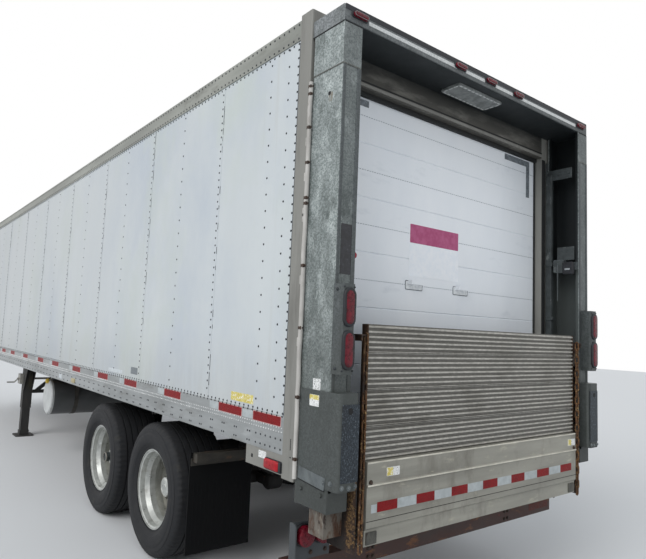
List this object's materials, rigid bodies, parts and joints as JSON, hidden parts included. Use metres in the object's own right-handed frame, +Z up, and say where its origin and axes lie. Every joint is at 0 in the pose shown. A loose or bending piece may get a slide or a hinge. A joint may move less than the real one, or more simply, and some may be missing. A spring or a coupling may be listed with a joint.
{
  "type": "box semi trailer with rail lift gate",
  "caption": "White box semi trailer on its landing legs and wide single tyres, with a roll-up rear door behind a rail lift gate whose ribbed platform is stowed upright.",
  "frame": {"origin": "centre of the footprint of the whole trailer, on the ground", "axes": "+X forward to the nose, +Y to the trailer's left side, +Z up"},
  "size_m": [11.4189, 2.597, 3.592],
  "materials": {
    "white_sheet": "white painted sheet",
    "rail_aluminium": "satin extrusion, weathered",
    "frame_paint": "tan-grey paint, weathered",
    "deck_wood": "oiled hardwood planks",
    "galvanised": "mottled galvanising",
    "chassis_black": "black chassis paint, dusty",
    "landing_grey": "dull grey paint",
    "platform_aluminium": "ribbed extrusion, scuffed",
    "rusty_steel": "heavy rust",
    "bumper_rust": "maroon paint worn to rust",
    "lamp_red": "red lens",
    "wheel_aluminium": "bright forged aluminium",
    "hub_iron": "cast iron, dusty",
    "tyre": "matt rubber",
    "flap_rubber": "black rubber sheet",
    "tank_paint": "white paint",
    "machined_steel": "greased steel"
  },
  "bodies": {
    "wheel_end_front_left": {"tyre_front_left": "tyre", "wheel_front_left": "wheel_aluminium", "hub_front_left": "hub_iron"},
    "wheel_end_front_right": {"tyre_front_right": "tyre", "wheel_front_right": "wheel_aluminium", "hub_front_right": "hub_iron"},
    "wheel_end_rear_left": {"tyre_rear_left": "tyre", "wheel_rear_left": "wheel_aluminium", "hub_rear_left": "hub_iron"},
    "wheel_end_rear_right": {"tyre_rear_right": "tyre", "wheel_rear_right": "wheel_aluminium", "hub_rear_right": "hub_iron"},
    "gate_carriage": {"lift_carriage": "galvanised", "lift_chain_left": "rusty_steel", "lift_chain_right": "rusty_steel"},
    "gate_platform": {"platform_deck": "platform_aluminium", "platform_panel": "platform_aluminium", "platform_side_angles": "rusty_steel"},
    "trailer": {"axle_front": "chassis_black", "axle_rear": "chassis_black", "bottom_rail_left": "rail_aluminium", "bottom_rail_right": "rail_aluminium", "brake_gear": "chassis_black", "canopy_lamps": "lamp_red", "cross_tank": "tank_paint", "crossmembers": "chassis_black", "flap_hanger": "chassis_black", "floor_deck": "deck_wood", "gate_canopy": "galvanised", "gate_column_left": "galvanised", "gate_column_right": "galvanised", "gate_covers_left": "galvanised", "gate_covers_right": "galvanised", "landing_brace": "landing_grey", "landing_crank": "machined_steel", "landing_leg_left": "landing_grey", "landing_leg_right": "landing_grey", "leaf_springs": "chassis_black", "mud_flaps": "flap_rubber", "nose_cap_rail": "rail_aluminium", "nose_connectors": "machined_steel", "nose_sill": "rail_aluminium", "nose_wall": "white_sheet", "rear_header": "frame_paint", "rear_post_left": "frame_paint", "rear_post_right": "frame_paint", "rear_sill": "frame_paint", "roll_up_door": "white_sheet", "roof_panel": "white_sheet", "side_wall_left": "white_sheet", "side_wall_right": "white_sheet", "spring_hangers": "chassis_black", "suspension_frame": "chassis_black", "tail_lamps": "lamp_red", "tank_straps": "chassis_black", "top_rail_left": "rail_aluminium", "top_rail_right": "rail_aluminium", "underride_guard": "bumper_rust", "upper_coupler": "machined_steel"}
  },
  "joints": [
    {"name": "wheel_spin_rear_left", "type": "hinge", "parent": "trailer", "child": "wheel_end_rear_left", "pos_m": [-3.4795, 1.062, 0.502], "axis": [0, 1, 0], "continuous": true},
    {"name": "wheel_spin_rear_right", "type": "hinge", "parent": "trailer", "child": "wheel_end_rear_right", "pos_m": [-3.4795, -1.062, 0.502], "axis": [0, 1, 0], "continuous": true},
    {"name": "wheel_spin_front_left", "type": "hinge", "parent": "trailer", "child": "wheel_end_front_left", "pos_m": [-2.2345, 1.062, 0.502], "axis": [0, 1, 0], "continuous": true},
    {"name": "wheel_spin_front_right", "type": "hinge", "parent": "trailer", "child": "wheel_end_front_right", "pos_m": [-2.2345, -1.062, 0.502], "axis": [0, 1, 0], "continuous": true},
    {"name": "gate_lift", "type": "slide", "parent": "trailer", "child": "gate_carriage", "axis": [0, 0, 1], "range_m": [-0.65, 0.51]},
    {"name": "platform_fold", "type": "hinge", "parent": "gate_carriage", "child": "gate_platform", "pos_m": [-5.6145, 0, 0.72], "axis": [0, -1, 0], "range_deg": [0, 90]}
  ]
}
